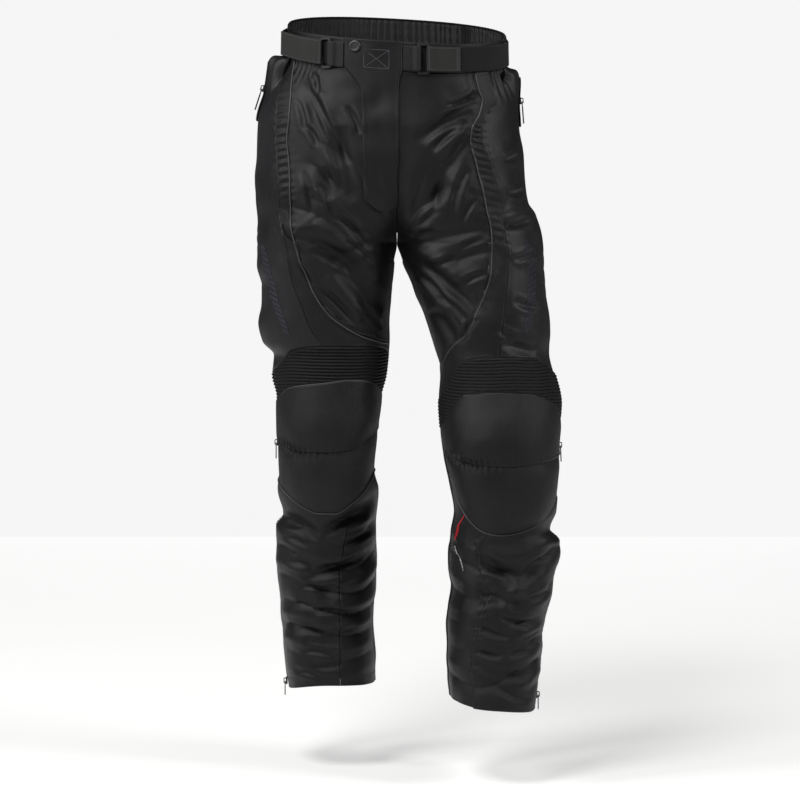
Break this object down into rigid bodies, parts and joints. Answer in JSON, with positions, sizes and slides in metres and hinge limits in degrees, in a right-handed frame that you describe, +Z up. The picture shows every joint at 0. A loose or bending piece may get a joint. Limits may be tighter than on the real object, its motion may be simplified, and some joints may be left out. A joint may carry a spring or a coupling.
{
  "type": "motorcycle trousers",
  "caption": "Worn, hollow textile motorcycle trousers with fly flap, waist adjusters, padded knee patches, rib panels above the knees and long leg zips",
  "frame": {"origin": "middle of the waist opening at the height of the waistband's middle at the sides, where the wearer holds the garment up", "axes": "+Z up along the body, front of the trousers faces -Y, the wearer's left leg is on the +X side"},
  "size_m": [0.4775, 0.2999, 1.0781],
  "materials": {
    "cloth": "near-black plain-woven polyester with a faint satin sheen",
    "side_cloth": "near-black smoother polyester on the outer side panels",
    "rib": "near-black ribbed stretch fabric",
    "piping": "grey reflective corded piping",
    "webbing": "dark hook-and-loop strap, webbing and zip tape",
    "metal": "dark coated zip sliders, rings and stud cap",
    "rubber": "matte black moulded pull tab"
  },
  "bodies": {
    "garment": {"waistband_front_right": "cloth", "waistband_front_left": "cloth", "waistband_back": "cloth", "fly_flap": "cloth", "snap": "metal", "right_front_thigh": "cloth", "right_side_front": "cloth", "right_side_outer": "side_cloth", "right_seat": "cloth", "right_back_thigh": "cloth", "right_back_calf": "cloth", "right_thigh_piping": "piping", "right_knee_ribs": "rib", "right_knee_patch_upper": "cloth", "right_knee_patch_lower": "cloth", "right_knee_piping_top": "piping", "right_knee_piping_bottom": "piping", "right_shin": "cloth", "right_calf_inner": "cloth", "right_leg_zip": "webbing", "right_pocket_zip": "webbing", "right_adjuster_anchor": "webbing", "right_adjuster_strap": "webbing", "right_adjuster_ring": "metal", "right_ankle_slider": "metal", "right_knee_slider": "metal", "right_pocket_slider": "metal", "left_front_thigh": "cloth", "left_side_front": "cloth", "left_side_outer": "side_cloth", "left_seat": "cloth", "left_back_thigh": "cloth", "left_back_calf": "cloth", "left_thigh_piping": "piping", "left_knee_ribs": "rib", "left_knee_patch_upper": "cloth", "left_knee_patch_lower": "cloth", "left_knee_piping_top": "piping", "left_knee_piping_bottom": "piping", "left_shin": "cloth", "left_calf_inner": "cloth", "left_leg_zip": "webbing", "left_pocket_zip": "webbing", "left_adjuster_anchor": "webbing", "left_adjuster_strap": "webbing", "left_adjuster_ring": "metal", "left_ankle_slider": "metal", "left_knee_slider": "metal", "left_pocket_slider": "metal"},
    "right_ankle_tab": {"right_ankle_pull": "metal"},
    "right_knee_tab": {"right_knee_pull": "metal"},
    "right_pocket_tab": {"right_pocket_pull": "rubber"},
    "left_ankle_tab": {"left_ankle_pull": "metal"},
    "left_knee_tab": {"left_knee_pull": "metal"},
    "left_pocket_tab": {"left_pocket_pull": "rubber"}
  },
  "joints": [
    {"name": "right_ankle_swing", "type": "hinge", "parent": "garment", "child": "right_ankle_tab", "pos_m": [-0.17771, 0.07152, -1.00314], "axis": [0, 1, 0], "range_deg": [0, 150]},
    {"name": "right_knee_swing", "type": "hinge", "parent": "garment", "child": "right_knee_tab", "pos_m": [-0.18928, 0.01551, -0.61994], "axis": [0, 1, 0], "range_deg": [0, 150]},
    {"name": "right_pocket_swing", "type": "hinge", "parent": "garment", "child": "right_pocket_tab", "pos_m": [-0.21108, 0.00073, -0.06628], "axis": [0, 1, 0], "range_deg": [0, 150]},
    {"name": "left_ankle_swing", "type": "hinge", "parent": "garment", "child": "left_ankle_tab", "pos_m": [0.2177, -0.04714, -1.00323], "axis": [0, -1, 0], "range_deg": [0, 150]},
    {"name": "left_knee_swing", "type": "hinge", "parent": "garment", "child": "left_knee_tab", "pos_m": [0.25277, -0.03879, -0.61974], "axis": [0, -1, 0], "range_deg": [0, 150]},
    {"name": "left_pocket_swing", "type": "hinge", "parent": "garment", "child": "left_pocket_tab", "pos_m": [0.19511, 0.0008, -0.0862], "axis": [0, -1, 0], "range_deg": [0, 150]}
  ]
}
